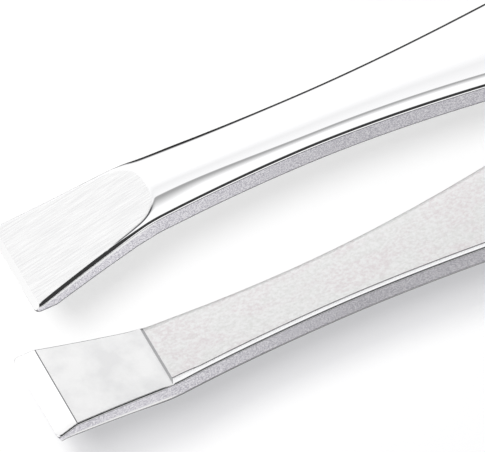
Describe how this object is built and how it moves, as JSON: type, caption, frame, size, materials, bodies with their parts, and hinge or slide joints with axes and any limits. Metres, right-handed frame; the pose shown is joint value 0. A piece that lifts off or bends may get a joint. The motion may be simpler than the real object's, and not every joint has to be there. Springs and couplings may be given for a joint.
{
  "type": "flat-tip tweezers",
  "caption": "Flat-tip spring tweezers: mirrored polished steel arms with ground spade tips, welded face to face at a round tail.",
  "frame": {"origin": "under the middle of the tweezers, on the surface they lie on", "axes": "+X from the tips to the tail, Y is the closing direction of the arms, +Z across the width, up from the surface they lie on"},
  "size_m": [0.095, 0.0134, 0.0096],
  "materials": {
    "arm_steel": "stainless steel: mirror-polished outer face, satin side edges, blasted inner face, ground and brushed tip"
  },
  "bodies": {
    "root": {"left_arm": "arm_steel", "right_arm": "arm_steel"}
  },
  "joints": []
}
